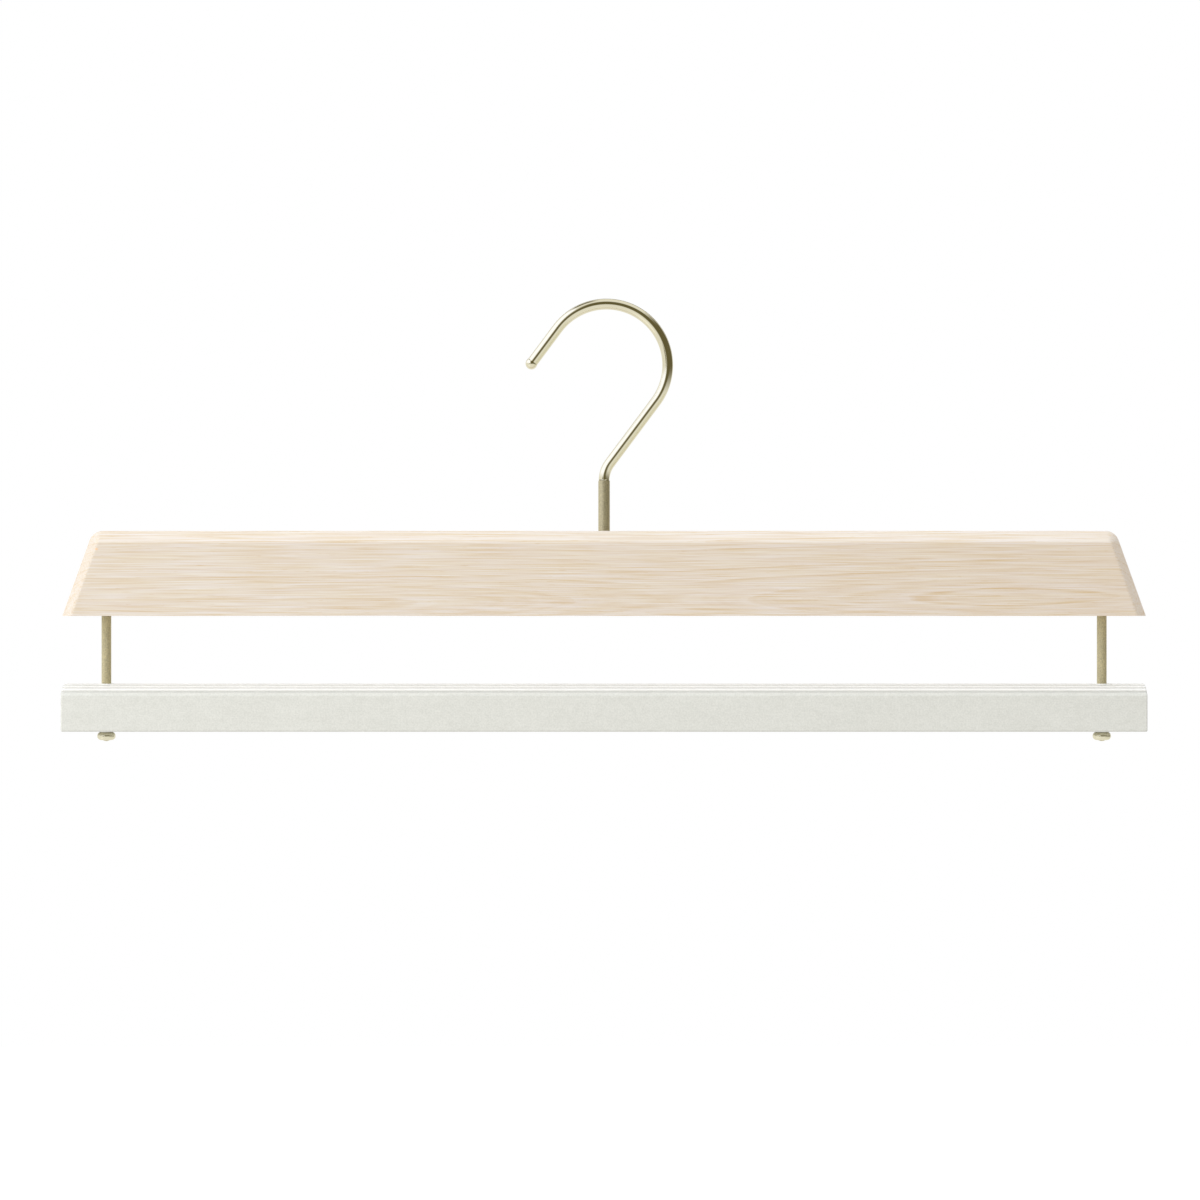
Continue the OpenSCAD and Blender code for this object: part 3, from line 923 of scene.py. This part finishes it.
for side in sides:
    finishPiece(makeRod(side, rodShape), rodGold, side + "_rod", "hanger_body", 32.0)
    finishPiece(makeInsert(side, insertShape), brass, side + "_rod_insert", "hanger_body")
    washer = makeTube(side + "NutWasher", *roundBox(side + "_nut_washer"), nutWasherShape)
    finishPiece(washer, nylon, side + "_nut_washer", "hanger_body")
    button = makeButtonNut(side, buttonShape)
    finishPiece(button, polishedGold, side + "_end_nut", "hanger_body")
print("rods, inserts and button nuts done")


# Lower bar with its ribbed top, and the bushes it slides on

lowerBar = {
    "crown": 4.8 * mm,
    "groovePitch": 2.4 * mm,
    "groovesEachSide": 4,
    "grooveWidth": 1.3 * mm,
    "grooveDepth": 0.45 * mm,
    "wallSlope": 2.6,
    "softness": 0.12 * mm,
    "baseEdge": 0.8 * mm,
    "shoulderEdge": 0.5 * mm,
    "endEdge": 0.7 * mm,
    "endSteps": 6,
    "topSteps": 360,
    "crownStop": 0.3 * mm,  # how far from the shoulders the crown's points end
    "holeR": 2.89 * mm,
    "recessR": 3.29 * mm,
    "recessDepth": 0.83 * mm,
    "holeEdge": 0.25 * mm,
    "nearBore": 5 * mm,  # the long faces are split this far from each bore
}


def makeLowerBar(size):
    low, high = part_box("lower_bar")
    halfThick = high.y
    crownR = (halfThick ** 2 + size["crown"] ** 2) / (2 * size["crown"])
    crownZ = high.z - crownR
    shoulder = high.z - size["crown"]
    lean = math.asin(halfThick / crownR) - size["crownStop"] / crownR
    turns = [lean - 2 * lean * k / size["topSteps"] for k in range(size["topSteps"] + 1)]
    crown = [(crownR * math.sin(a), crownZ + crownR * math.cos(a)) for a in turns]
    section = roundCorners([
        (-halfThick, low.z, size["baseEdge"]), (halfThick, low.z, size["baseEdge"]),
        (halfThick, shoulder, size["shoulderEdge"]), *crown,
        (-halfThick, shoulder, size["shoulderEdge"])], steps=6)

    # Each point moves straight in as the section is drawn in towards the rounded ends
    count = len(section)
    inwards = []
    for i in range(count):
        along = Vector(section[(i + 1) % count]) - Vector(section[i - 1])
        inwards.append(Vector((-along.y, along.x)).normalized())
    edge = size["endEdge"]
    turns = [math.pi / 2 * k / size["endSteps"] for k in range(size["endSteps"] + 1)]
    stations = [(high.x - edge + edge * math.sin(a), edge - edge * math.cos(a)) for a in turns]
    rodX, nearBore = roundBox("right_rod")[0], size["nearBore"]
    right = [(rodX - nearBore, 0.0), (rodX + nearBore, 0.0)] + stations
    shape = bmesh.new()
    rings = []
    for x, inset in [(-x, inset) for x, inset in reversed(right)] + right:
        rings.append([shape.verts.new((x, y + inset * way.x, z + inset * way.y))
                      for (y, z), way in zip(section, inwards)])
    for near, far in zip(rings, rings[1:]):
        for k in range(count):
            n = (k + 1) % count
            shape.faces.new((near[k], near[n], far[n], far[k]))
    shape.faces.new(rings[0])
    shape.faces.new(rings[-1])
    bar = runTree(fromBmesh("lowerBar", shape), ribTree, {
        "Crown Radius": crownR, "Crown Centre Z": crownZ, "Groove Pitch": size["groovePitch"],
        "Grooves Each Side": size["groovesEachSide"], "Groove Width": size["grooveWidth"],
        "Groove Depth": size["grooveDepth"], "Wall Slope": size["wallSlope"], "Softness": size["softness"],
        "Material": lacquer})
    cutters = []
    below, above, recessZ = low.z - cutPast, high.z + cutPast, high.z - size["recessDepth"]
    hole, recess, soft = size["holeR"], size["recessR"], size["holeEdge"]
    for sign in sides.values():
        cutters.append(turned("bore", [
            (0.0, below), (hole + soft, below), (hole + soft, low.z), (hole, low.z + soft),
            (hole, recessZ), (recess, recessZ), (recess, above), (0.0, above)], sign * rodX))
    return carve(bar, cutters)


finishPiece(makeLowerBar(lowerBar), lacquer, "lower_bar", "bar_body", 38.0)

bushShape = {
    "boreR": 2.06 * mm,
    "bodyR": 2.86 * mm,
    "flangeT": 0.8 * mm,
    "edge": 0.15 * mm,
    "mouthEdge": 0.24 * mm,
}


def makeBush(side, size):
    x, flangeR, low, high = roundBox(side + "_bar_bush")
    bore, body, edge = size["boreR"], size["bodyR"], size["edge"]
    neck = high.z - size["flangeT"]
    outline = roundCorners([
        (bore, low.z, edge), (body, low.z, edge), (body, neck), (flangeR, neck, edge),
        (flangeR, high.z, edge), (bore, high.z, size["mouthEdge"])], steps=4)
    return turned(side + "BarBush", outline, x)


for side in sides:
    finishPiece(makeBush(side, bushShape), nylon, side + "_bar_bush", "bar_body")
print("lower bar and bushes done")


# Studio: white ground far below, ambient light, two softboxes, and panels that only reflections see

studio = {
    "cameraPlace": (-0.0017, -1.3885, -0.1210),
    "lens": 100.0,
    "sensor": 36.0,
    "target": (0.0, 0.0, -0.12),
    "ambient": 0.72,
    "floorZ": -1.65,
    "floorHalf": 10.0,
    "floorLift": 0.55,
    "floorMirrored": 1.0,
}


def viewRays(tree):
    # Rays straight from the camera, and those that reach it by a mirror or through something clear
    path = addNode(tree, "ShaderNodeLightPath").outputs
    return path["Is Camera Ray"], calc(tree, "MAXIMUM", path["Is Glossy Ray"], path["Is Transmission Ray"])


def addGlow(tree, kind, strength, colour=white):
    return addNode(tree, kind, inputs={"Color": (*colour, 1.0), "Strength": strength}).outputs[0]


def mixShaders(tree, factor, a, b):
    return addNode(tree, "ShaderNodeMixShader", inputs={0: factor, 1: a, 2: b}).outputs[0]


def makeWorld():
    world = bpy.data.worlds.new("white studio")
    scene.world = world
    world.use_nodes = True
    tree = world.node_tree
    tree.nodes.clear()
    direct, mirrored = viewRays(tree)
    ambient = addGlow(tree, "ShaderNodeBackground", studio["ambient"])
    bright = addGlow(tree, "ShaderNodeBackground", 1.0)
    mixed = mixShaders(tree, calc(tree, "MAXIMUM", direct, mirrored), ambient, bright)
    addNode(tree, "ShaderNodeOutputWorld", inputs={"Surface": mixed})


def makeFloor():
    half, z = studio["floorHalf"], studio["floorZ"]
    corners = [(-half, -half, z), (half, -half, z), (half, half, z), (-half, half, z)]
    mesh = bpy.data.meshes.new("floor")
    mesh.from_pydata(corners, [], [(0, 1, 2, 3)])
    floor = newObject("floor", mesh)
    material, tree = plainMaterial("white ground")
    tree.nodes.clear()
    direct, mirrored = viewRays(tree)
    matt = addNode(tree, "ShaderNodeBsdfDiffuse", inputs={"Color": (0.9, 0.9, 0.9, 1.0)})
    lift = addGlow(tree, "ShaderNodeEmission", product(tree, direct, studio["floorLift"]))
    both = addNode(tree, "ShaderNodeAddShader", inputs={0: matt.outputs[0], 1: lift})
    bright = addGlow(tree, "ShaderNodeEmission", studio["floorMirrored"])
    mixed = mixShaders(tree, mirrored, both.outputs[0], bright)
    addNode(tree, "ShaderNodeOutputMaterial", inputs={"Surface": mixed})
    mesh.materials.append(material)


def addSoftbox(name, direction, distance, size, radiance, colour):
    lamp = bpy.data.lights.new(name, "AREA")
    lamp.size = size
    lamp.energy = radiance * math.pi * size ** 2
    lamp.color = colour
    made = newObject(name, lamp)
    way = Vector(direction).normalized()
    made.location = Vector(studio["target"]) + way * distance
    made.rotation_euler = way.to_track_quat("Z", "Y").to_euler()
    made.visible_camera = False
    made.visible_glossy = False


def addPanel(name, middle, right, up, colour, strength, soft):
    # A flat panel that only reflections see. Right and up are half its sides, and soft holds the shares
    # of it that fade out at the left, right, foot and head
    shape = bmesh.new()
    places = ((0, 0), (1, 0), (1, 1), (0, 1))
    corners = [Vector(middle) + Vector(right) * (2 * u - 1) + Vector(up) * (2 * v - 1) for u, v in places]
    face = shape.faces.new([shape.verts.new(corner) for corner in corners])
    layer = shape.loops.layers.uv.new("UVMap")
    for loop, place in zip(face.loops, places):
        loop[layer].uv = place
    panel = fromBmesh(name, shape)
    material, tree = plainMaterial(name)
    tree.nodes.clear()
    material.cycles.emission_sampling = "NONE"
    u, v = splitAxes(tree, addNode(tree, "ShaderNodeTexCoord").outputs["UV"])[:2]
    fadeLeft, fadeRight, fadeFoot, fadeHead = (max(share, 0.001) for share in soft)
    shown = product(
        tree, remap(tree, u, 0.0, fadeLeft), remap(tree, u, 1.0 - fadeRight, 1.0, 1.0, 0.0),
        remap(tree, v, 0.0, fadeFoot), remap(tree, v, 1.0 - fadeHead, 1.0, 1.0, 0.0))
    clear = addNode(tree, "ShaderNodeBsdfTransparent").outputs[0]
    mixed = mixShaders(tree, shown, clear, addGlow(tree, "ShaderNodeEmission", strength, colour))
    addNode(tree, "ShaderNodeOutputMaterial", inputs={"Surface": mixed})
    panel.data.materials.append(material)
    for ray in ("camera", "diffuse", "transmission", "volume_scatter", "shadow"):
        setattr(panel, "visible_" + ray, False)


# Direction from the target, distance, size, radiance and colour
softboxes = {
    "leftSoftbox": ((-0.80, -0.57, 0.20), 1.8, 2.5, 1.43, (0.975, 1.01, 1.06)),
    "topSoftbox": ((0.12, -0.22, 0.97), 1.5, 1.5, 1.60, (0.88, 0.995, 1.21)),
}

# Middle, half width, half height, colour, strength and soft edges
panels = {
    "frontPanel": ((0.40, -2.2, 1.475), (1.60, 0, 0), (0, 0, 2.125),
                   (0.155, 0.135, 0.064), 1.0, (0.28, 0.0, 0.15, 0.38)),
    "leftFlag": ((-1.6, -2.18, -0.05), (0.75, 0, 0), (0, 0, 0.42),
                 (0.18, 0.158, 0.086), 1.0, (0.45, 0.30, 0.4, 0.4)),
    "rightPanel": ((2.0, 0.0, 1.20), (0, 2.2, 0), (0, 0, 2.20),
                   (0.16, 0.14, 0.075), 1.0, (0.0, 0.32, 0.26, 0.40)),
    "leftCard": ((-2.0, -1.3, 2.25), (0, 2.9, 0), (0, 0, 2.15),
                 (1.0, 1.04, 1.30), 1.40, (0.10, 0.17, 0.12, 0.20)),
    "lowCard": ((-1.9, -1.0, -1.6), (1.3, 0, 0), (0, 2.0, 0), white, 1.17, (0.3, 0.3, 0.3, 0.3)),
    "rightCard": ((2.6, -0.6, -1.6), (1.4, 0, 0), (0, 2.4, 0),
                  (0.90, 0.90, 0.82), 1.0, (0.3, 0.2, 0.2, 0.2)),
    "topStrip": ((-1.15, 0.6, 3.0), (0.92, 0, 0), (0, 1.3, 0),
                 (0.13, 0.115, 0.068), 1.0, (0.40, 0.33, 0.3, 0.15)),
    "backPanel": ((0.3, 2.2, 1.2), (1.4, 0, 0), (0, 0, 1.1),
                  (0.22, 0.20, 0.13), 1.0, (0.2, 0.2, 0.2, 0.2)),
}

makeWorld()
makeFloor()
for name, values in softboxes.items():
    addSoftbox(name, *values)
for name, values in panels.items():
    addPanel(name, *values)

cameraData = bpy.data.cameras.new("camera")
cameraData.lens = studio["lens"]
cameraData.sensor_width = studio["sensor"]
camera = newObject("camera", cameraData)
camera.location = studio["cameraPlace"]
camera.rotation_euler = (math.pi / 2, 0.0, 0.0)
scene.camera = camera
scene.view_settings.view_transform = "Standard"
print("studio ready")
